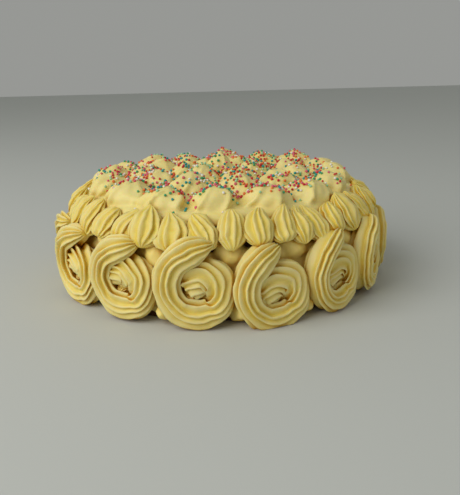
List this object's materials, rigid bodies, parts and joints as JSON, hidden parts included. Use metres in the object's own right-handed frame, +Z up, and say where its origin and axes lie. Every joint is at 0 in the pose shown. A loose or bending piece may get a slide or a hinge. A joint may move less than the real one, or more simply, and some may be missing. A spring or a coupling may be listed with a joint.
{
  "type": "nougat cake",
  "caption": "Round uncut cake covered in piped pale yellow cream: large rosettes round the side, small kisses on the shoulder, soft mounds and coloured sugar beads on top.",
  "frame": {"origin": "middle of the cake's flat underside", "axes": "+Z up, -Y towards the side that the picture shows"},
  "size_m": [0.248, 0.25, 0.0965],
  "materials": {
    "sponge": "dark brown crumb; matte_plastic stands in for cake sponge",
    "cream": "pale buttery yellow piped cream, soft sheen; matte_plastic stands in for cream",
    "sugar_beads": "small round sugar beads in red, pink, orange, green, teal, white and yellow-green; gloss_plastic stands in for sugar, and the colour given is the red ones'"
  },
  "bodies": {
    "root": {"sponge": "sponge", "side_rosette_01": "cream", "side_rosette_02": "cream", "side_rosette_03": "cream", "side_rosette_04": "cream", "side_rosette_05": "cream", "side_rosette_06": "cream", "side_rosette_07": "cream", "side_rosette_08": "cream", "side_rosette_09": "cream", "side_rosette_10": "cream", "side_rosette_11": "cream", "side_rosette_12": "cream", "side_rosette_13": "cream", "side_rosette_14": "cream", "side_rosette_15": "cream", "side_rosette_16": "cream", "shoulder_kiss_01": "cream", "shoulder_kiss_02": "cream", "shoulder_kiss_03": "cream", "shoulder_kiss_04": "cream", "shoulder_kiss_05": "cream", "shoulder_kiss_06": "cream", "shoulder_kiss_07": "cream", "shoulder_kiss_08": "cream", "shoulder_kiss_09": "cream", "shoulder_kiss_10": "cream", "shoulder_kiss_11": "cream", "shoulder_kiss_12": "cream", "shoulder_kiss_13": "cream", "shoulder_kiss_14": "cream", "shoulder_kiss_15": "cream", "shoulder_kiss_16": "cream", "shoulder_kiss_17": "cream", "shoulder_kiss_18": "cream", "shoulder_kiss_19": "cream", "shoulder_kiss_20": "cream", "shoulder_kiss_21": "cream", "shoulder_kiss_22": "cream", "shoulder_kiss_23": "cream", "shoulder_kiss_24": "cream", "shoulder_kiss_25": "cream", "shoulder_kiss_26": "cream", "shoulder_kiss_27": "cream", "shoulder_kiss_28": "cream", "shoulder_kiss_29": "cream", "shoulder_kiss_30": "cream", "shoulder_kiss_31": "cream", "shoulder_kiss_32": "cream", "shoulder_kiss_33": "cream", "shoulder_kiss_34": "cream", "shoulder_kiss_35": "cream", "shoulder_kiss_36": "cream", "shoulder_kiss_37": "cream", "shoulder_kiss_38": "cream", "shoulder_kiss_39": "cream", "shoulder_kiss_40": "cream", "top_cream": "cream"}
  },
  "joints": []
}
